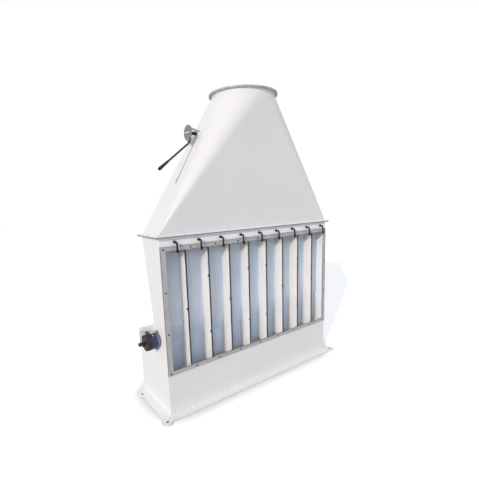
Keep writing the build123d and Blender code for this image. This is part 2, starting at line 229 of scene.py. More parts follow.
def make_rough_casting():
    """Cast or moulded skin: grit in the height, and lighter rubbed or dusty spots."""
    group, given, result = start_group("rough_casting", [
        ("Skin", COLOUR, grey(0.2)),
        ("Spots", COLOUR, grey(0.5)),
        ("Spot amount", FLOAT, 0.4),
        ("Spot scale", FLOAT, 60.0),
        ("Grit scale", FLOAT, 700.0),
        ("Base roughness", FLOAT, 0.5),
    ])
    place = object_place(group)
    grit = noise(group, place, given["Grit scale"], detail=3.0, roughness=0.6)
    cover = noise(group, place, given["Spot scale"], detail=5.0, roughness=0.7)
    spotted = mask(group, cover, SPOT_MASK, given["Spot amount"])
    tone = mix_colour(group, spotted, given["Skin"], given["Spots"])
    rough = varied(group, given["Base roughness"], cover, smoother=-0.06, rougher=0.14)
    return end_group(group, result, tone, rough, grit)


PAINT_FILM = make_paint_film()
ROLLED_METAL = make_rolled_metal()
ROUGH_CASTING = make_rough_casting()


def finish_material(name, group, values, bump, **shader):
    """A Principled material whose colour, roughness and bump come from one of the finish groups."""
    material = bpy.data.materials.new(name)
    material.use_nodes = True
    tree = material.node_tree
    skin = tree.nodes["Principled BSDF"]
    finish = tree.nodes.new("ShaderNodeGroup")
    finish.node_tree = group
    for key, value in values.items():
        finish.inputs[key].default_value = value
    tree.links.new(finish.outputs["Colour"], skin.inputs["Base Color"])
    tree.links.new(finish.outputs["Roughness"], skin.inputs["Roughness"])
    relief = {"Height": finish.outputs["Height"], "Strength": bump, "Distance": BUMP_DISTANCE}
    tree.links.new(add_node(tree, "ShaderNodeBump", relief).outputs["Normal"], skin.inputs["Normal"])
    for key, value in shader.items():
        skin.inputs[key.replace("_", " ")].default_value = value
    return material


def painted(name, paint, cloudiness, run_marks, roughness, bump, **dust):
    values = {"Paint": paint, "Cloudiness": cloudiness, "Run marks": run_marks, "Base roughness": roughness}
    for key, value in dust.items():
        values[key.capitalize().replace("_", " ")] = value
    return finish_material(name, PAINT_FILM, values, bump)


def rolled(name, metal, tarnish, patches, roughness, bump, metallic, stretch=(1.0, 1.0, 1.0), scale=300.0):
    values = {"Metal": metal, "Tarnish": tarnish, "Patches": patches, "Base roughness": roughness,
              "Grain stretch": stretch, "Grain scale": scale}
    return finish_material(name, ROLLED_METAL, values, bump, Metallic=metallic)


def cast(name, skin, spots, amount, roughness, bump, scale=60.0, **shader):
    values = {"Skin": skin, "Spots": spots, "Spot amount": amount, "Spot scale": scale,
              "Base roughness": roughness}
    return finish_material(name, ROUGH_CASTING, values, bump, **shader)


# Materials

WHITE = rgb(0.80, 0.81, 0.825)
STRIP_METAL = rgb(0.55, 0.535, 0.55)
STRIP_TARNISH = rgb(0.34, 0.325, 0.345)
DRAWN = 0.06  # multiplies the place along the strip, which draws the grain out

# The white paint's low tint is painted bounce light: a paler bluish band up to 0.11 m above the floor
white_paint = painted(
    "white_powder_coat", WHITE, cloudiness=0.06, run_marks=0.03, roughness=0.40, bump=0.12,
    dust=0.75, dust_colour=rgb(0.93, 0.955, 1.0), dust_height=0.11)
partition_paint = painted(
    "cream_partition_paint", rgb(0.72, 0.705, 0.70), cloudiness=0.10, run_marks=0.08, roughness=0.45,
    bump=0.10, dust=0.0)
# Painted shade: a dark grey-blue copy of the paint on the body's flange, for the shadow under the hood's
# flange
shadowed_flange = painted(
    "painted_shade_flange", rgb(0.42, 0.42, 0.49), cloudiness=0.20, run_marks=0.0, roughness=0.50, bump=0.12,
    dust=0.0)
# Painted light: a paler copy of the white paint on the flanges, header, motor plate and bracket; its low tint
# makes it darker and bluer in the last 3 cm above the floor
lit_white_paint = painted(
    "painted_light_white_paint", rgb(0.92, 0.935, 0.96), cloudiness=0.10, run_marks=0.0, roughness=0.45, bump=0.12,
    dust=0.12, dust_colour=rgb(0.70, 0.72, 0.78), dust_height=0.03)
ring_primer = cast(
    "grey_ring_primer", rgb(0.41, 0.415, 0.46), rgb(0.60, 0.60, 0.64), amount=0.65, roughness=0.46, bump=0.15,
    scale=34.0)
strip_steel = rolled(
    "dull_strip_steel", STRIP_METAL, STRIP_TARNISH, patches=0.45, roughness=0.45, bump=0.08, metallic=0.35,
    stretch=(DRAWN, 1.0, 1.0))
stile_steel = rolled(
    "dull_stile_steel", STRIP_METAL, STRIP_TARNISH, patches=0.45, roughness=0.45, bump=0.08, metallic=0.35,
    stretch=(1.0, 1.0, DRAWN))
# Black rubber of the partition seals; on the window gasket and the base hole rings it is also painted shade
seal_rubber_and_shade = cast(
    "black_seal_rubber_and_shade", rgb(0.035, 0.035, 0.04), rgb(0.10, 0.10, 0.11), amount=0.5, roughness=0.6, bump=0.2)
# Grey felt of the hood's joint, dark enough to paint the shade line under the flange
joint_felt_and_shade = cast(
    "grey_joint_felt_and_shade", rgb(0.20, 0.20, 0.225), rgb(0.32, 0.32, 0.35), amount=0.5, roughness=0.7, bump=0.2)
lever_black = cast(
    "black_lever_enamel", rgb(0.006, 0.006, 0.008), rgb(0.025, 0.025, 0.028), amount=0.35, roughness=0.42,
    bump=0.12, scale=140.0, Specular_IOR_Level=0.25)
screw_steel = cast(
    "darkened_screw_steel", rgb(0.045, 0.042, 0.042), rgb(0.14, 0.13, 0.125), amount=0.6, roughness=0.38,
    bump=0.1, scale=260.0, Metallic=0.7)
bolt_zinc = cast(
    "pale_zinc_bolt", rgb(0.66, 0.66, 0.68), rgb(0.42, 0.42, 0.44), amount=0.5, roughness=0.36, bump=0.08,
    scale=220.0, Metallic=0.45)
disc_zinc = cast(
    "speckled_disc_zinc", rgb(0.20, 0.20, 0.21), rgb(0.46, 0.46, 0.47), amount=0.8, roughness=0.40, bump=0.14,
    scale=75.0, Metallic=0.55)
bright_steel = rolled(
    "bright_bar_steel", grey(0.72), grey(0.50), patches=0.3, roughness=0.30, bump=0.05, metallic=0.7,
    stretch=(1.0, 0.08, 1.0))
rod_oxide = rolled(
    "black_oxide_rod", rgb(0.020, 0.020, 0.024), rgb(0.055, 0.055, 0.06), patches=0.4, roughness=0.42,
    bump=0.06, metallic=0.2, scale=500.0)
grip_rubber = cast(
    "moulded_grip_rubber", rgb(0.010, 0.010, 0.012), rgb(0.04, 0.04, 0.045), amount=0.4, roughness=0.62,
    bump=0.3)
motor_blue = cast(
    "blue_motor_enamel", rgb(0.020, 0.032, 0.095), rgb(0.09, 0.12, 0.23), amount=0.5, roughness=0.34,
    bump=0.15, scale=90.0)
motor_black = cast(
    "olive_black_cap", rgb(0.014, 0.013, 0.010), rgb(0.07, 0.065, 0.05), amount=0.5, roughness=0.5, bump=0.25,
    scale=80.0)
motor_grey = cast(
    "grey_motor_casting", rgb(0.16, 0.165, 0.22), rgb(0.36, 0.37, 0.44), amount=0.6, roughness=0.45,
    bump=0.25, Metallic=0.2)
gland_olive = cast(
    "olive_gland_plastic", rgb(0.085, 0.075, 0.045), rgb(0.22, 0.20, 0.14), amount=0.5, roughness=0.40,
    bump=0.15, scale=120.0)

# Inner wall of the bays: its painted shade by height above the floor, in metres: blue-grey as in shadow under
# the sky, paler half way up and bluer low down
INNER_PAINTED_SHADES = (
    (0.34, (0.51, 0.63, 0.83)),
    (0.43, (0.545, 0.68, 0.89)),
    (0.56, (0.65, 0.745, 0.91)),
    (0.70, (0.685, 0.765, 0.91)),
    (0.85, (0.60, 0.70, 0.85)),
    (1.00, (0.545, 0.63, 0.765)),
)
REAR_SIDE_MASK = (-0.1, 0.1)  # in the surface normal's Y, from the window side to the rear


def make_inner_wall_shade():
    """The wall's painted shade: blue-grey, paler half way up and bluer low down, and white behind."""
    material = finish_material(
        "painted_shade_inner_wall", PAINT_FILM,
        {"Cloudiness": 0.30, "Run marks": 0.30, "Dust": 0.0, "Base roughness": 0.5}, bump=0.10)
    tree = material.node_tree
    lowest = INNER_PAINTED_SHADES[0][0]
    highest = INNER_PAINTED_SHADES[-1][0]
    height = part_of(tree, object_place(tree), "Z")
    ramp = add_node(tree, "ShaderNodeValToRGB", {"Fac": map_range(tree, height, (lowest, highest))})
    stops = ramp.color_ramp.elements
    while len(stops) < len(INNER_PAINTED_SHADES):
        stops.new(0.5)
    for stop, (level, shade) in zip(stops, INNER_PAINTED_SHADES):
        stop.position = (level - lowest) / (highest - lowest)
        stop.color = rgb(*shade)
    normal = add_node(tree, "ShaderNodeNewGeometry").outputs["True Normal"]
    rear_side = map_range(tree, part_of(tree, normal, "Y"), REAR_SIDE_MASK)
    finish = next(node for node in tree.nodes if node.type == "GROUP")
    tree.links.new(mix_colour(tree, rear_side, ramp.outputs["Color"], WHITE), finish.inputs["Paint"])
    return material


inner_wall_shade = make_inner_wall_shade()

ACRYLIC_IOR = 1.49
HAZE_STRETCH = (9.0, 9.0, 1.2)
TINT_MASK = (0.35, 0.7)
SCUFF_MASK = (0.4, 0.75)
CLEAREST_ROUGHNESS = 0.01
HAZIEST_ROUGHNESS = 0.06
CLEAREST_TINT = rgb(0.985, 0.99, 1.0)
HAZIEST_TINT = rgb(0.95, 0.97, 1.0)
SHADOW_TINT = rgb(0.96, 0.975, 0.99)


def make_clear_window():
    """Clear acrylic that lets light through to the bays: shadow rays pass as through thin tinted sheet."""
    material = bpy.data.materials.new("clear_acrylic_sheet")
    material.use_nodes = True
    tree = material.node_tree
    skin = tree.nodes["Principled BSDF"]
    haze = noise(tree, stretched(tree, object_place(tree), HAZE_STRETCH), 1.0, detail=4.0, roughness=0.6)
    tint = mix_colour(tree, map_range(tree, haze, TINT_MASK), CLEAREST_TINT, HAZIEST_TINT)
    rough = map_range(tree, haze, SCUFF_MASK, CLEAREST_ROUGHNESS, HAZIEST_ROUGHNESS)
    tree.links.new(tint, skin.inputs["Base Color"])
    tree.links.new(rough, skin.inputs["Roughness"])
    skin.inputs["Transmission Weight"].default_value = 1.0
    skin.inputs["IOR"].default_value = ACRYLIC_IOR
    ways = add_node(tree, "ShaderNodeLightPath")
    passing = add_node(tree, "ShaderNodeBsdfTransparent", {"Color": SHADOW_TINT})
    mixed = add_node(
        tree, "ShaderNodeMixShader",
        {0: ways.outputs["Is Shadow Ray"], 1: skin.outputs[0], 2: passing.outputs[0]})
    tree.links.new(mixed.outputs[0], tree.nodes["Material Output"].inputs["Surface"])
    return material


clear_window = make_clear_window()

NODE_FINISH = {
    "inner_wall": inner_wall_shade,
    "bay_partitions": partition_paint,
    "base_flange": lit_white_paint,
    "hood_flange": lit_white_paint,
    "header_panel": lit_white_paint,
    "body_flange": shadowed_flange,
    "motor_plate": lit_white_paint,
    "damper_bracket": lit_white_paint,
    "outlet_ring": ring_primer,
    "partition_seals": seal_rubber_and_shade,
    "window_sheet": clear_window,
    "top_rail": strip_steel,
    "bottom_rail": strip_steel,
    "left_stile": stile_steel,
    "right_stile": stile_steel,
    "damper_blade": disc_zinc,
    "damper_disc": disc_zinc,
    "damper_key_bar": bright_steel,
    "handle_nut": disc_zinc,
    "damper_handle": rod_oxide,
    "damper_grip": grip_rubber,
    "motor_foot": motor_grey,
    "motor_housing": motor_blue,
    "motor_end_cap": motor_black,
}


def dress_nodes():
    for name, node in frame["nodes"].items():
        finish = NODE_FINISH.get(name, lever_black if name.startswith("flap_lever") else white_paint)
        node.data.materials.clear()
        node.data.materials.append(finish)


dress_nodes()


# Mesh building

SMOOTH_ANGLE = radians(35)
TURNED_SIDES = 32
SMALL_SIDES = 20
TUBE_SIDES = 16
BEAD_SIDES = 8

AXIS_UP = Matrix.Identity(4)
AXIS_DOWN = Matrix.Rotation(pi, 4, "X")
AXIS_FRONT = Matrix.Rotation(pi / 2, 4, "X")
AXIS_BACK = Matrix.Rotation(-pi / 2, 4, "X")
AXIS_LEFT = Matrix.Rotation(-pi / 2, 4, "Y")


def side_faces(rings, sides, closed=False):
    """Faces between rings of points; a closed form joins its last ring to its first."""
    faces = []
    for ring in range(rings if closed else rings - 1):
        near = ring * sides
        far = (ring + 1) % rings * sides
        for step in range(sides):
            beside = (step + 1) % sides
            faces.append((near + step, near + beside, far + beside, far + step))
    return faces


def capped(points, sides):
    """Points and faces of a form through rings of points, with a face over each end."""
    ends = [tuple(reversed(range(sides))), tuple(range(len(points) - sides, len(points)))]
    return points, side_faces(len(points) // sides, sides) + ends


def rings_of(profile, sides):
    """One ring of points for each (radius, height) of the profile."""
    points = []
    for radius, height in profile:
        for step in range(sides):
            angle = tau * step / sides
            points.append(Vector((radius * cos(angle), radius * sin(angle), height)))
    return points


def turned(profile, sides=TURNED_SIDES):
    """A turned form, closed at both ends."""
    return capped(rings_of(profile, sides), sides)


def open_ring(section):
    """A turned ring whose section is a closed list of (radius, height)."""
    return rings_of(section, TURNED_SIDES), side_faces(len(section), TURNED_SIDES, closed=True)


def scaled(profile, radius, height):
    """A profile given in shares of a radius and a height, at its real size."""
    return [(share * radius, rise * height) for share, rise in profile]


def block(width, depth, height, edge):
    """A box on its base, with chamfered top edges."""
    points = []
    for inset, level in ((0.0, 0.0), (0.0, height - edge), (edge, height)):
        for x, y in ((-1, -1), (1, -1), (1, 1), (-1, 1)):
            points.append(Vector((x * (width / 2 - inset), y * (depth / 2 - inset), level)))
    return capped(points, 4)


def tube(path, radius, sides=TUBE_SIDES):
    """A round bar along a path that bends in one plane."""
    points = []
    across = (path[1] - path[0]).orthogonal()
    for index, centre in enumerate(path):
        along = (path[min(index + 1, len(path) - 1)] - path[max(index - 1, 0)]).normalized()
        across = (across - along * across.dot(along)).normalized()
        other = along.cross(across)
        for step in range(sides):
            angle = tau * step / sides
            points.append(centre + radius * (cos(angle) * across + sin(angle) * other))
    return capped(points, sides)


def gathered(forms):
    """Points and faces of several (form, matrix) pairs in one list."""
    points = []
    faces = []
    for (form_points, form_faces), matrix in forms:
        first = len(points)
        points.extend(matrix @ point for point in form_points)
        faces.extend(tuple(first + index for index in face) for face in form_faces)
    return points, faces


def piece(name, form, material, body="root"):
    """A mesh object of the form, smooth but for its sharp edges, riding on the body."""
    points, faces = form
    mesh = bpy.data.meshes.new(name)
    mesh.from_pydata([tuple(point) for point in points], [], faces)
    mesh.validate()
    solid = bmesh.new()
    solid.from_mesh(mesh)
    bmesh.ops.recalc_face_normals(solid, faces=solid.faces)
    solid.to_mesh(mesh)
    solid.free()
    mesh.polygons.foreach_set("use_smooth", [True] * len(mesh.polygons))
    mesh.set_sharp_from_angle(angle=SMOOTH_ANGLE)
    mesh.materials.append(material)
    thing = bpy.data.objects.new(name, mesh)
    bpy.context.scene.collection.objects.link(thing)
    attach(thing, body)
    return thing


def at(place, turn=AXIS_UP):
    return Matrix.Translation(place) @ turn


def facing(direction):
    """The turn that points a form's own up along the direction."""
    return Vector(direction).to_track_quat("Z", "Y").to_matrix().to_4x4()


# Fasteners: profiles in shares of the radius and the height
HEX_PROFILE = ((1.0, 0.0), (1.0, 0.8), (0.86, 1.0))
WASHER_PROFILE = ((1.0, 0.0), (1.0, 0.8), (0.95, 1.0))
SCREW_PROFILE = ((1.0, 0.0), (1.0, 0.35), (0.88, 0.75), (0.6, 1.0), (0.42, 1.0), (0.36, 0.45), (0.05, 0.40))
STUD_PROFILE = ((1.0, 0.0), (1.0, 1.5), (0.8, 1.65))  # its height is the nut's
WASHER_SIDES = 24
WASHER_DIAMETER_SHARE = 1.35  # this and the next two: in widths across the flats
WASHER_THICKNESS_SHARE = 0.12
STUD_RADIUS_SHARE = 0.3


def hex_head(across_flats, height):
    """A hexagon with its top corners turned off."""
    return turned(scaled(HEX_PROFILE, across_flats / 2 / cos(pi / 6), height), 6)


def washer(diameter, thickness):
    return turned(scaled(WASHER_PROFILE, diameter / 2, thickness), WASHER_SIDES)


def screw_head(diameter, height):
    """A domed head with a sunk middle for the driver."""
    return turned(scaled(SCREW_PROFILE, diameter / 2, height), SMALL_SIDES)


def bolt_head(across_flats, height):
    """A hexagon head on its washer."""
    plate = WASHER_THICKNESS_SHARE * across_flats
    return gathered([
        (washer(WASHER_DIAMETER_SHARE * across_flats, plate), AXIS_UP),
        (hex_head(across_flats, height), at((0, 0, plate))),
    ])


def nut_on_stud(across_flats, height):
    """A nut on its washer, with the stud's end standing out of it."""
    return gathered([
        (bolt_head(across_flats, height), AXIS_UP),
        (turned(scaled(STUD_PROFILE, STUD_RADIUS_SHARE * across_flats, height), TUBE_SIDES), AXIS_UP),
    ])


# Places taken from the frame

SEAL_WIDTH = 8 * MM


def middle(low, high):
    return (low + high) / 2


def evenly(first, last, count):
    return [first + (last - first) * step / (count - 1) for step in range(count)]


rail_low, rail_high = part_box("top_rail")
foot_low, foot_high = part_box("bottom_rail")
stile_low, stile_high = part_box("left_stile")
far_stile_low, far_stile_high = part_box("right_stile")
seal_low, seal_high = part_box("partition_seals")
joint_low, joint_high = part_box("hood_flange")
under_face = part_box("body_flange")[0].z
body_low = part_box("left_side_plate")[0]
body_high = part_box("right_side_plate")[1]
front_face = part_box("header_panel")[0].y
rear_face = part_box("rear_wall")[1].y
strip_face = rail_low.y
window_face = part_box("window_sheet")[0].y
bay_count = sum(name.startswith("flap_lever") for name in frame["nodes"])
bay_pitch = (seal_high.x - seal_low.x - SEAL_WIDTH) / (bay_count - 2)
partition_x = [bay_pitch * (step - bay_count / 2) for step in range(1, bay_count)]
bay_x = [bay_pitch * (step + 0.5 - bay_count / 2) for step in range(bay_count)]
turn_place = {joint["name"]: Vector(joint["pos_m"]) for joint in frame["joints"]}


# Screws of the window's frame and of the dividers

FRAME_SCREW_HEAD = 11 * MM
FRAME_SCREW_HEIGHT = 3.2 * MM
FRAME_SCREWS_ALONG = 9
FRAME_SCREWS_UP = 4  # with the two at the corners
DIVIDER_SCREW_HEAD = 10 * MM
DIVIDER_SCREW_HEIGHT = 2.2 * MM
DIVIDER_WASHER = 15 * MM
DIVIDER_WASHER_THICKNESS = 1.2 * MM
DIVIDER_SCREWS = (1, 2, 1, 2, 2, 1, 2, 1)  # on each partition, from the left
DIVIDER_SCREW_ASIDE = 9 * MM  # to the left of the seal's middle


def frame_screws():
    """Screws through the strips, evenly spaced from corner to corner."""
    left = middle(stile_low.x, stile_high.x)
    right = middle(far_stile_low.x, far_stile_high.x)
    bottom = middle(foot_low.z, foot_high.z)
    top = middle(rail_low.z, rail_high.z)
    spots = [(x, z) for x in evenly(left, right, FRAME_SCREWS_ALONG) for z in (bottom, top)]
    spots += [(x, z) for z in evenly(bottom, top, FRAME_SCREWS_UP)[1:-1] for x in (left, right)]
    head = screw_head(FRAME_SCREW_HEAD, FRAME_SCREW_HEIGHT)
    forms = [(head, at((x, strip_face, z), AXIS_FRONT)) for x, z in spots]
    piece("frame_screws", gathered(forms), screw_steel)


def divider_screws():
    """One screw at half of a partition's height, or two at its quarters, through the window."""
    head = gathered([
        (washer(DIVIDER_WASHER, DIVIDER_WASHER_THICKNESS), AXIS_UP),
        (screw_head(DIVIDER_SCREW_HEAD, DIVIDER_SCREW_HEIGHT), at((0, 0, DIVIDER_WASHER_THICKNESS))),
    ])
    forms = []
    for x, count in zip(partition_x, DIVIDER_SCREWS):
        for step in range(count):
            z = foot_high.z + (rail_low.z - foot_high.z) * (step + 0.5) / count
            forms.append((head, at((x - DIVIDER_SCREW_ASIDE, window_face, z), AXIS_FRONT)))
    piece("divider_screws", gathered(forms), screw_steel)


# Sealing strips round the window and between the flanges, whose darkness also paints the shade lines at those
# edges

GASKET_WIDTH = 2 * MM
OUTER_GASKET_WIDTH = 1.4 * MM
GASKET_THICKNESS = 2 * MM
JOINT_GASKET_THICKNESS = 4 * MM
JOINT_GASKET_PROUD = 1.5 * MM
GASKET_EDGE = 0.2  # chamfer, as a share of the strip's width or thickness


def upright_loop(low, high, width):
    """Four strips round an upright opening, outside its edge, on the plane of low.y and towards the front."""
    centre_x = middle(low.x, high.x)
    y = low.y - GASKET_THICKNESS / 2
    edge = GASKET_EDGE * width
    flat = block(high.x - low.x + 2 * width, GASKET_THICKNESS, width, edge)
    upright = block(width, GASKET_THICKNESS, high.z - low.z, edge)
    return [
        (flat, at((centre_x, y, low.z - width))),
        (flat, at((centre_x, y, high.z))),
        (upright, at((low.x - width / 2, y, low.z))),
        (upright, at((high.x + width / 2, y, low.z))),
    ]


def window_gasket():
    """The dark sealing strip that shows along both edges of the window's frame; it also paints the shade
    lines there.
    """
    inner_low = Vector((stile_high.x + GASKET_WIDTH, window_face, foot_high.z + GASKET_WIDTH))
    inner_high = Vector((far_stile_low.x - GASKET_WIDTH, window_face, rail_low.z - GASKET_WIDTH))
    outer_low = Vector((rail_low.x, front_face, foot_low.z))
    outer_high = Vector((rail_high.x, front_face, rail_high.z))
    forms = upright_loop(inner_low, inner_high, GASKET_WIDTH)
    forms += upright_loop(outer_low, outer_high, OUTER_GASKET_WIDTH)
    piece("window_gasket", gathered(forms), seal_rubber_and_shade)


def joint_gasket():
    """The grey felt strip squeezed out round the joint between body and hood; it also paints the shade line
    under the hood's flange.
    """
    wide = 2 * JOINT_GASKET_PROUD
    edge = GASKET_EDGE * JOINT_GASKET_THICKNESS
    along = block(joint_high.x - joint_low.x + wide, wide, JOINT_GASKET_THICKNESS, edge)
    across = block(wide, joint_high.y - joint_low.y + wide, JOINT_GASKET_THICKNESS, edge)
    centre_x = middle(joint_low.x, joint_high.x)
    centre_y = middle(joint_low.y, joint_high.y)
    z = joint_low.z - JOINT_GASKET_THICKNESS / 2
    forms = [(along, at((centre_x, y, z))) for y in (joint_low.y, joint_high.y)]
    forms += [(across, at((x, centre_y, z))) for x in (joint_low.x, joint_high.x)]
    piece("joint_gasket", gathered(forms), joint_felt_and_shade)


# Bolts and beads of the sheet work

FLANGE_BOLT_FLATS = 10 * MM
FLANGE_BOLT_HEIGHT = 4 * MM
FLANGE_BOLT_INSET = 9 * MM
BASE_HOLE_OUT = 44 * MM  # from the side of the body
BASE_HOLE_Y = 198.5 * MM
# A dark ring in each base hole, as painted shade in the hole
HOLE_RING_BORE = 3.5 * MM
HOLE_RING_RADIUS = 6.8 * MM
HOLE_RING_LIP = 7.6 * MM
HOLE_RING_LIP_HEIGHT = 0.8 * MM
BEAD_RADIUS = 2.2 * MM
HOOD_STEP = 5 * MM  # the hood stands this much inside the body's outline


def flange_bolts():
    """Bolts through the hood's joint, over each partition, at the corners and half way along the sides."""
    front = joint_low.y + FLANGE_BOLT_INSET
    rear = joint_high.y - FLANGE_BOLT_INSET
    left = joint_low.x + FLANGE_BOLT_INSET
    right = joint_high.x - FLANGE_BOLT_INSET
    spots = [(x, y) for x in partition_x + [left, right] for y in (front, rear)]
    spots += [(x, middle(front, rear)) for x in (left, right)]
    head = bolt_head(FLANGE_BOLT_FLATS, FLANGE_BOLT_HEIGHT)
    nut = nut_on_stud(FLANGE_BOLT_FLATS, FLANGE_BOLT_HEIGHT)
    forms = []
    for x, y in spots:
        forms.append((head, at((x, y, joint_high.z))))
        forms.append((nut, at((x, y, under_face), AXIS_DOWN)))
    piece("flange_bolts", gathered(forms), bolt_zinc)


def base_hole_shade_rings():
    """Dark rings in the four bolt holes of the base: painted shade inside the holes."""
    plate_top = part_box("base_flange")[1].z
    lip_top = plate_top + HOLE_RING_LIP_HEIGHT
    ring = open_ring([
        (HOLE_RING_BORE, 0.0), (HOLE_RING_RADIUS, 0.0), (HOLE_RING_RADIUS, plate_top), (HOLE_RING_LIP, plate_top),
        (HOLE_RING_LIP, lip_top), (HOLE_RING_BORE, lip_top)])
    sides = (body_low.x - BASE_HOLE_OUT, body_high.x + BASE_HOLE_OUT)
    forms = [(ring, at((x, y, 0.0))) for x in sides for y in (-BASE_HOLE_Y, BASE_HOLE_Y)]
    piece("base_hole_shade_rings", gathered(forms), seal_rubber_and_shade)


def bead(name, corners):
    """A thin painted weld bead along straight runs from corner to corner."""
    forms = []
    for start, end in zip(corners, corners[1:]):
        forms.append((tube([Vector(start), Vector(end)], BEAD_RADIUS, BEAD_SIDES), AXIS_UP))
    piece(name, gathered(forms), white_paint)


def outline_at(z, step=0.0):
    """Corners of the body's outline at a height, drawn in by the step, back to the first."""
    left, right = body_low.x + step, body_high.x - step
    front, rear = front_face + step, rear_face - step
    return [(left, front, z), (right, front, z), (right, rear, z), (left, rear, z), (left, front, z)]


def seams():
    """Beads where hood and body meet their flanges, and where the body meets its base strip."""
    bead("hood_bead", outline_at(joint_high.z, HOOD_STEP))
    bead("body_bead", outline_at(under_face))
    base_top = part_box("base_flange")[1].z
    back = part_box("rear_lower_wall")[1].y
    bead("base_bead", [
        (body_low.x, back, base_top), (body_low.x, front_face, base_top),
        (body_high.x, front_face, base_top), (body_high.x, back, base_top)])


# Levers of the flaps

LEVER_ROD_RADIUS = 5.6 * MM
LEVER_BEND_RADIUS = 11 * MM
LEVER_KNOB_RADIUS = 8.5 * MM
LEVER_KNOB_LENGTH = 20 * MM
KNOB_PROFILE = ((0.80, 0.0), (1.0, 0.08), (1.0, 0.85), (0.75, 0.96), (0.30, 1.0))
LEVER_SPLAY = 6 * MM
LEVER_NUT_FLATS = 16.4 * MM
LEVER_NUT_LENGTH = 8 * MM
FLAP_THICKNESS = 3 * MM
FLAP_CLEARANCE = 6 * MM
FLAP_EDGE = 0.5 * MM
SHEET = 3 * MM
BEND_STEPS = 8


def bent(start, corner, end, radius):
    """Points of a path from start to end with one rounded corner."""
    to_start = (start - corner).normalized()
    to_end = (end - corner).normalized()
    half = to_start.angle(to_end) / 2
    reach = radius * cos(half) / sin(half)
    centre = corner + (to_start + to_end).normalized() * (radius / sin(half))
    first = (corner + to_start * reach - centre).normalized()
    last = (corner + to_end * reach - centre).normalized()
    arc = [centre + radius * first.slerp(last, step / BEND_STEPS) for step in range(BEND_STEPS + 1)]
    return [start] + arc + [end]


def flap_levers():
    """Nine bent rods through the header, each with its nut, knob and flap plate inside."""
    knob = turned(scaled(KNOB_PROFILE, LEVER_KNOB_RADIUS, LEVER_KNOB_LENGTH))
    nut = hex_head(LEVER_NUT_FLATS, LEVER_NUT_LENGTH)
    flap_front = front_face + SHEET + HOOD_STEP + FLAP_CLEARANCE
    for number, bay_middle in enumerate(bay_x, start=1):
        node = f"flap_lever_{number}"
        low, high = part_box(node)
        pivot = turn_place[f"flap_{number}_turn"]
        knob_tip = Vector((pivot.x, low.y + LEVER_KNOB_RADIUS, low.z))
        corner = Vector((pivot.x, knob_tip.y + LEVER_SPLAY, pivot.z))
        path = bent(Vector((pivot.x, high.y, pivot.z)), corner, knob_tip, LEVER_BEND_RADIUS)
        hang = (knob_tip - corner).normalized()
        short_arm = bay_pitch / 2 - (pivot.x - bay_middle) - SHEET / 2 - FLAP_CLEARANCE
        flap_low = max(pivot.z - short_arm, rail_low.z + FLAP_THICKNESS)
        plate = block(FLAP_THICKNESS, high.y - flap_front, high.z - flap_low, FLAP_EDGE)
        forms = [
            (tube(path, LEVER_ROD_RADIUS), AXIS_UP),
            (knob, at(knob_tip - hang * LEVER_KNOB_LENGTH, facing(hang))),
            (nut, at((pivot.x, front_face, pivot.z), AXIS_FRONT)),
            (plate, at((pivot.x, middle(high.y, flap_front), flap_low))),
        ]
        lever = piece(
            f"lever_{number}", gathered(forms), lever_black, body=f"flap_{number}")
        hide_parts(node)


# Main damper: handle and grip

ROD_RADIUS = 6 * MM
ROD_SIDES = 24
HANDLE_TURN = radians(22)  # from straight down, towards the windows
HANDLE_ROOT = 42 * MM  # this and the corner: from the shaft's axis
HANDLE_CORNER = 68 * MM
HANDLE_SLOPE = radians(36.7)
HANDLE_LENGTH = 309 * MM
HANDLE_BEND_RADIUS = 10 * MM
GRIP_RADIUS = 10 * MM
GRIP_LENGTH = 86 * MM
GRIP_END_WALL = 14 * MM
GRIP_GROOVES = 11
GRIP_GROOVE_DEPTH = 0.7 * MM
GRIP_GROOVED = (0.12, 0.90)  # the ribbed stretch, in shares of the grip's length
GRIP_SWELL = (0.78, 0.98)  # the radius at the first and the last groove, in shares of the grip's
GRIP_THROAT = ((0.68, 0.0), (0.76, 0.03))
GRIP_CAP = ((1.0, 0.92), (1.0, 0.96), (0.85, 0.99), (0.5, 1.0))
GROOVE_SECTION = ((0.0, 0.0), (0.25, 1.0), (0.50, 1.0), (0.75, 0.0))  # along the pitch, and into the rubber

shaft = turn_place["damper_turn"]


def grip_profile():
    """Radius and height along the grip: it swells to its rounded end, with shallow finger grooves."""
    starts = [share * GRIP_LENGTH for share in evenly(*GRIP_GROOVED, GRIP_GROOVES + 1)]
    pitch = starts[1] - starts[0]
    radii = [share * GRIP_RADIUS for share in evenly(*GRIP_SWELL, GRIP_GROOVES)]
    profile = scaled(GRIP_THROAT, GRIP_RADIUS, GRIP_LENGTH)
    for start, radius in zip(starts, radii):
        for along, sunk in GROOVE_SECTION:
            profile.append((radius - sunk * GRIP_GROOVE_DEPTH, start + along * pitch))
    return profile + scaled(GRIP_CAP, GRIP_RADIUS, GRIP_LENGTH)


def damper_handle():
    """The rod out of the long nut on the disc's ear, and its ribbed grip."""
    nut_low, nut_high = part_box("handle_nut")
    down = Vector((0, -sin(HANDLE_TURN), -cos(HANDLE_TURN)))
    line = Vector((middle(nut_low.x, nut_high.x), shaft.y, shaft.z))
    out = Vector((-cos(HANDLE_SLOPE), 0, 0)) + down * sin(HANDLE_SLOPE)
    corner = line + down * HANDLE_CORNER
    grip_start = corner + out * (HANDLE_LENGTH - GRIP_LENGTH)
    rod_end = grip_start + out * (GRIP_LENGTH - GRIP_END_WALL)
    path = bent(line + down * HANDLE_ROOT, corner, rod_end, HANDLE_BEND_RADIUS)
    rod = piece("handle_rod", tube(path, ROD_RADIUS, ROD_SIDES), rod_oxide, body="damper")
    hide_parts("damper_handle")
    sleeve = gathered([(turned(grip_profile()), at(grip_start, facing(out)))])
    grip = piece("handle_grip", sleeve, grip_rubber, body="damper")
    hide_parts("damper_grip")


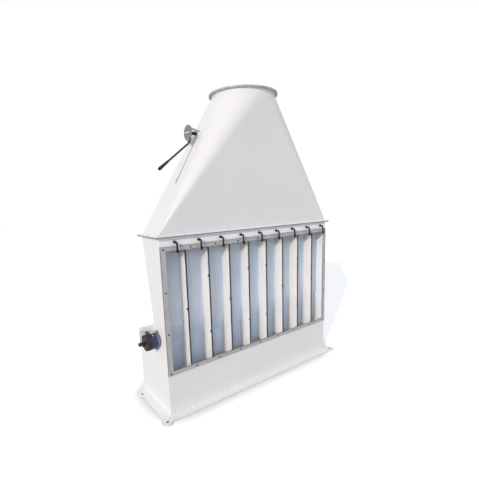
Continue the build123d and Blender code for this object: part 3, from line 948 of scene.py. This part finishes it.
# Main damper: what sits on the disc and round the shaft

STOP_PIN_FLATS = 10 * MM
STOP_PIN_HEIGHT = 3 * MM
STOP_PIN_OUT = 36 * MM
BAR_SCREW_HEAD = 7 * MM
BAR_SCREW_HEIGHT = 2 * MM
BAR_SCREW_OUT = 24 * MM
HOOD_FOOT = 14 * MM
COLLAR_HEIGHT = 23 * MM
NECK_RADIUS = 217 * MM
BUSH_RADIUS = 15 * MM
BUSH_BORE = 10.5 * MM
BUSH_LENGTH = 3 * MM
SLEEVE_RADIUS = 10.6 * MM
SLEEVE_GAP = 1 * MM
SLEEVE_EDGE = 0.05  # chamfer, in lengths of the sleeve
BRACKET_PLATE = 4 * MM


def disc_fittings():
    """The stop pin by the disc's rear edge, and the key bar's two screws."""
    disc_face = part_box("damper_disc")[0].x
    bar_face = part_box("damper_key_bar")[0].x
    pin_place = at((disc_face, shaft.y + STOP_PIN_OUT, shaft.z), AXIS_LEFT)
    pin = gathered([(bolt_head(STOP_PIN_FLATS, STOP_PIN_HEIGHT), pin_place)])
    piece("disc_stop_pin", pin, lever_black, body="damper")
    screw = screw_head(BAR_SCREW_HEAD, BAR_SCREW_HEIGHT)
    screws = [(screw, at((bar_face, shaft.y + side * BAR_SCREW_OUT, shaft.z), AXIS_LEFT)) for side in (-1, 1)]
    piece("key_bar_screws", gathered(screws), bolt_zinc, body="damper")


def hood_skin(z):
    """How far the hood's side lies from the middle at a height."""
    foot_z = joint_low.z + HOOD_FOOT
    neck_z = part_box("outlet_ring")[1].z - COLLAR_HEIGHT
    foot_x = body_high.x - HOOD_STEP
    return foot_x + (NECK_RADIUS - foot_x) * (z - foot_z) / (neck_z - foot_z)


def shaft_bush(name, side, outer):
    """A painted bush round the shaft, its foot following the hood's sloping skin."""
    points = []
    for radius, on_skin in ((BUSH_BORE, True), (BUSH_RADIUS, True), (BUSH_RADIUS, False), (BUSH_BORE, False)):
        for step in range(TURNED_SIDES):
            angle = tau * step / TURNED_SIDES
            z = shaft.z + radius * sin(angle)
            x = hood_skin(z) if on_skin else outer
            points.append(Vector((side * x, shaft.y + radius * cos(angle), z)))
    piece(name, (points, side_faces(4, TURNED_SIDES, closed=True)), white_paint)


def shaft_fittings():
    """A bush on each side of the hood, and the dark sleeve between the left bush and the bracket."""
    outer = hood_skin(shaft.z - BUSH_RADIUS) + BUSH_LENGTH
    shaft_bush("left_shaft_bush", -1, outer)
    shaft_bush("right_shaft_bush", 1, outer)
    start = -outer - SLEEVE_GAP
    length = start - (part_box("damper_bracket")[0].x + BRACKET_PLATE)
    edge = SLEEVE_EDGE * length
    sleeve = turned([
        (SLEEVE_RADIUS - edge, 0.0), (SLEEVE_RADIUS, edge), (SLEEVE_RADIUS, length - edge),
        (SLEEVE_RADIUS - edge, length)])
    form = gathered([(sleeve, at((start, shaft.y, shaft.z), AXIS_LEFT))])
    piece("shaft_sleeve", form, lever_black, body="damper")


# Motor: ribs, lugs, lid, gland and bolts

RIB_COUNT = 4
RIB_THICKNESS = 3 * MM
RIB_RISE = 1.4 * MM
RIB_EDGE = 0.15  # chamfer, in thicknesses of the rib
RIB_ROOT = 0.97  # in radii of the housing
RIB_SIDES = 48
CAP_LUG_COUNT = 4
CAP_LUG_RADIUS = 8 * MM
CAP_LUG_OUT = 46 * MM
CAP_LUG_PROFILE = ((1.0, 0.0), (1.0, 0.9), (0.85, 1.0))
CAP_BOLT_FLATS = 8 * MM
CAP_BOLT_HEIGHT = 4 * MM
BOSS_LENGTH = 40 * MM
BLOCK_LENGTH = 26 * MM
BLOCK_WIDTH = 34 * MM
LID_RISE = 5 * MM
LID_OVERLAP = 1.5 * MM
LID_EDGE = 1.25 * MM
LID_SCREW_HEAD = 5 * MM
LID_SCREW_HEIGHT = 1.5 * MM
LID_SCREW_OUT = 1 / 3  # from the lid's middle, in lengths and widths of the block
EARTH_BOLT_ANGLE = radians(25)
GLAND_FLATS = 20 * MM
GLAND_NUT_LENGTH = 11.9 * MM
GLAND_RADIUS = 10.5 * MM
GLAND_LENGTH = 34 * MM
GLAND_SUNK = 3.4 * MM
GLAND_RISE = radians(36)
GLAND_PROFILE = ((0.85, 0.0), (0.85, 0.45), (1.0, 0.48), (1.0, 0.80), (0.75, 0.97), (0.4, 1.0))
FOOT_BOLT_FLATS = 13 * MM
FOOT_BOLT_HEIGHT = 6 * MM
FOOT_BOLT_SHARE = 1 / 8  # from the motor's axis, in heights of the plate
PLATE_SCREW_INSET = 22 * MM
PLATE_HOLE_INSET = 15 * MM
PLATE_HOLE_DROP = 28 * MM

house_low, house_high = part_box("motor_housing")
cap_low, cap_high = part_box("motor_end_cap")
motor_axis = Vector((house_low.x, middle(cap_low.y, cap_high.y), middle(cap_low.z, cap_high.z)))
house_radius = motor_axis.z - house_low.z


def motor_ribs():
    """Cast ribs round the blue housing."""
    root = RIB_ROOT * house_radius
    top = house_radius + RIB_RISE
    edge = RIB_EDGE * RIB_THICKNESS
    rib = turned([(root, 0.0), (top, edge), (top, RIB_THICKNESS - edge), (root, RIB_THICKNESS)], RIB_SIDES)
    starts = evenly(house_high.x - RIB_THICKNESS, house_low.x + 2 * RIB_THICKNESS, RIB_COUNT)
    forms = [(rib, at((x, motor_axis.y, motor_axis.z), AXIS_LEFT)) for x in starts]
    piece("motor_ribs", gathered(forms), motor_blue)


def cap_bolts():
    """Four lugs at the end cap's rim, each with its bolt."""
    cap_face = cap_low.x + BOSS_LENGTH
    lug = turned(scaled(CAP_LUG_PROFILE, CAP_LUG_RADIUS, cap_high.x - cap_face), SMALL_SIDES)
    head = bolt_head(CAP_BOLT_FLATS, CAP_BOLT_HEIGHT)
    lugs = []
    heads = []
    for step in range(CAP_LUG_COUNT):
        angle = tau * (step + 0.5) / CAP_LUG_COUNT
        y = motor_axis.y + CAP_LUG_OUT * cos(angle)
        z = motor_axis.z + CAP_LUG_OUT * sin(angle)
        lugs.append((lug, at((cap_high.x, y, z), AXIS_LEFT)))
        heads.append((head, at((cap_face, y, z), AXIS_LEFT)))
    piece("motor_cap_lugs", gathered(lugs), motor_black)
    piece("motor_cap_bolts", gathered(heads), screw_steel)


def terminal_fittings():
    """The terminal block's lid and its screws, the earth bolt, and a blanked cable gland."""
    block_x = middle(house_low.x, house_high.x)
    top = house_high.z
    lid = block(BLOCK_LENGTH + 2 * LID_OVERLAP, BLOCK_WIDTH + 2 * LID_OVERLAP, LID_RISE, LID_EDGE)
    lid_form = gathered([(lid, at((block_x, motor_axis.y, top)))])
    piece("terminal_lid", lid_form, bolt_zinc)
    screw = screw_head(LID_SCREW_HEAD, LID_SCREW_HEIGHT)
    screws = []
    for side in (-LID_SCREW_OUT, LID_SCREW_OUT):
        for end in (-LID_SCREW_OUT, LID_SCREW_OUT):
            place = (block_x + side * BLOCK_LENGTH, motor_axis.y + end * BLOCK_WIDTH, top + LID_RISE)
            screws.append((screw, at(place)))
    piece("terminal_lid_screws", gathered(screws), screw_steel)
    out = Vector((0, -sin(EARTH_BOLT_ANGLE), cos(EARTH_BOLT_ANGLE)))
    earth_place = at(Vector((block_x, motor_axis.y, motor_axis.z)) + out * house_radius, facing(out))
    earth = gathered([(bolt_head(CAP_BOLT_FLATS, CAP_BOLT_HEIGHT), earth_place)])
    piece("motor_earth_bolt", earth, bright_steel)
    aim = Vector((-cos(GLAND_RISE), 0, sin(GLAND_RISE)))
    mouth = Vector((block_x - BLOCK_LENGTH / 2, motor_axis.y, top - GLAND_RADIUS / 2))
    gland_place = at(mouth - aim * GLAND_SUNK, facing(aim))
    gland = gathered([
        (hex_head(GLAND_FLATS, GLAND_NUT_LENGTH), gland_place),
        (turned(scaled(GLAND_PROFILE, GLAND_RADIUS, GLAND_LENGTH)), gland_place),
    ])
    piece("terminal_gland", gland, gland_olive)


def motor_fixings():
    """Bolts of the flange lugs, through the foot, from plate to wall, and the one in the plate's hole."""
    grey_low, grey_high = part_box("motor_foot")
    plate_low, plate_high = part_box("motor_plate")
    head = bolt_head(FOOT_BOLT_FLATS, FOOT_BOLT_HEIGHT)
    small = bolt_head(CAP_BOLT_FLATS, CAP_BOLT_HEIGHT)
    nut = nut_on_stud(FOOT_BOLT_FLATS, FOOT_BOLT_HEIGHT)
    flange_x = middle(grey_low.x, grey_high.x)
    hole_place = (plate_low.x + PLATE_HOLE_INSET, plate_low.y, plate_high.z - PLATE_HOLE_DROP)
    forms = [
        (nut, at((flange_x, motor_axis.y, grey_high.z))),
        (nut, at((flange_x, motor_axis.y, grey_low.z), AXIS_DOWN)),
        (small, at(hole_place, AXIS_FRONT)),
    ]
    rise = FOOT_BOLT_SHARE * (plate_high.z - plate_low.z)
    for z in (motor_axis.z - rise, motor_axis.z + rise):
        forms.append((nut, at((flange_x, plate_high.y, z), AXIS_BACK)))
    for x in (body_low.x + PLATE_SCREW_INSET, plate_high.x - PLATE_SCREW_INSET):
        for z in (plate_low.z + PLATE_SCREW_INSET, plate_high.z - PLATE_SCREW_INSET):
            forms.append((head, at((x, plate_high.y, z), AXIS_BACK)))
    piece("motor_fixings", gathered(forms), bolt_zinc)


frame_screws()
divider_screws()
window_gasket()
joint_gasket()
flange_bolts()
base_hole_shade_rings()
seams()
flap_levers()
damper_handle()
disc_fittings()
shaft_fittings()
motor_ribs()
cap_bolts()
terminal_fittings()
motor_fixings()


# Floor, light and camera

FLOOR_SPAN = 40.0
FLOOR_DROP = 0.5 * MM
FLOOR_COLOUR = grey(0.86)
FLOOR_SHADE = rgb(0.25, 0.25, 0.29)
FLOOR_ROUGHNESS = 0.9
FLOOR_GLOSS = 0.1
FLOOR_LIFT = 0.50  # glow that brings the open floor to white in the picture
FLOOR_CONTACT = 0.20  # how far the soft dark edge reaches from what stands on the floor
CONTACT_SAMPLES = 16
CONTACT_ENDS = (0.40, 0.985)  # share of open sky where the floor is darkest, and where it is fully pale
WORLD_LIGHT = rgb(0.452, 0.480, 0.528)
LAMP_TOWARDS = (1.0, 0.56, -0.50)
LAMP_SPREAD = radians(2.0)
LAMP_STRENGTH = 2.18
LAMP_COLOUR = (1.0, 0.905, 0.80)


def pale_floor():
    """White floor, which takes the cast shadow, with a painted soft contact shadow close to the base."""
    mesh = bpy.data.meshes.new("floor")
    half = FLOOR_SPAN / 2
    corners = [(-half, -half, 0), (half, -half, 0), (half, half, 0), (-half, half, 0)]
    mesh.from_pydata(corners, [], [(0, 1, 2, 3)])
    floor = bpy.data.objects.new("floor", mesh)
    floor.location.z = -FLOOR_DROP
    bpy.context.scene.collection.objects.link(floor)
    material = bpy.data.materials.new("pale_floor")
    material.use_nodes = True
    tree = material.node_tree
    skin = tree.nodes["Principled BSDF"]
    skin.inputs["Roughness"].default_value = FLOOR_ROUGHNESS
    skin.inputs["Specular IOR Level"].default_value = FLOOR_GLOSS
    skin.inputs["Emission Color"].default_value = grey(1.0)
    nearness = add_node(
        tree, "ShaderNodeAmbientOcclusion", {"Distance": FLOOR_CONTACT}, samples=CONTACT_SAMPLES)
    open_floor = map_range(tree, nearness.outputs["AO"], CONTACT_ENDS)
    tree.links.new(mix_colour(tree, open_floor, FLOOR_SHADE, FLOOR_COLOUR), skin.inputs["Base Color"])
    ways = add_node(tree, "ShaderNodeLightPath")
    lift = maths(tree, "MULTIPLY", ways.outputs["Is Camera Ray"], FLOOR_LIFT)
    tree.links.new(maths(tree, "MULTIPLY", lift, open_floor), skin.inputs["Emission Strength"])
    mesh.materials.append(material)


def pale_world():
    """Soft cool light from all round, and white where the camera, glass or gloss sees the background."""
    world = bpy.data.worlds.new("studio")
    bpy.context.scene.world = world
    world.use_nodes = True
    tree = world.node_tree
    tree.nodes.clear()
    ways = add_node(tree, "ShaderNodeLightPath").outputs
    seen = maths(tree, "MAXIMUM", ways["Is Camera Ray"], ways["Is Transmission Ray"])
    seen = maths(tree, "MAXIMUM", seen, ways["Is Glossy Ray"])
    plain = add_node(tree, "ShaderNodeBackground", {"Color": WORLD_LIGHT, "Strength": 1.0})
    white = add_node(tree, "ShaderNodeBackground", {"Color": grey(1.0), "Strength": 1.0})
    mixed = add_node(tree, "ShaderNodeMixShader", {0: seen, 1: plain.outputs[0], 2: white.outputs[0]})
    add_node(tree, "ShaderNodeOutputWorld", {"Surface": mixed.outputs[0]})


def key_lamp():
    """A distant lamp with a narrow spread: it lights floor and object evenly, and its shadows are crisp."""
    light = bpy.data.lights.new("key_lamp", "SUN")
    light.angle = LAMP_SPREAD
    light.energy = LAMP_STRENGTH
    light.color = LAMP_COLOUR
    lamp = bpy.data.objects.new("key_lamp", light)
    lamp.rotation_euler = Vector(LAMP_TOWARDS).to_track_quat("-Z", "Y").to_euler()
    bpy.context.scene.collection.objects.link(lamp)


def photo_camera():
    """The photograph's camera: its place, aim, focal length and small shift."""
    camera = bpy.data.cameras.new("photo_camera")
    camera.sensor_width = SENSOR_WIDTH
    camera.lens = FOCAL_PIXELS / IMAGE_SIDE * SENSOR_WIDTH
    camera.shift_x = (IMAGE_SIDE / 2 - CENTRE_PIXEL[0]) / IMAGE_SIDE
    camera.shift_y = (CENTRE_PIXEL[1] - IMAGE_SIDE / 2) / IMAGE_SIDE
    holder = bpy.data.objects.new("photo_camera", camera)
    right = CAMERA_RIGHT.normalized()
    behind = -CAMERA_AHEAD.normalized()
    up = behind.cross(right).normalized()
    turn = Matrix((right, up, behind)).transposed().to_4x4()
    holder.matrix_world = Matrix.Translation(EYE) @ turn
    bpy.context.scene.collection.objects.link(holder)
    bpy.context.scene.camera = holder


pale_floor()
pale_world()
key_lamp()
photo_camera()
bpy.context.scene.view_settings.view_transform = "Standard"
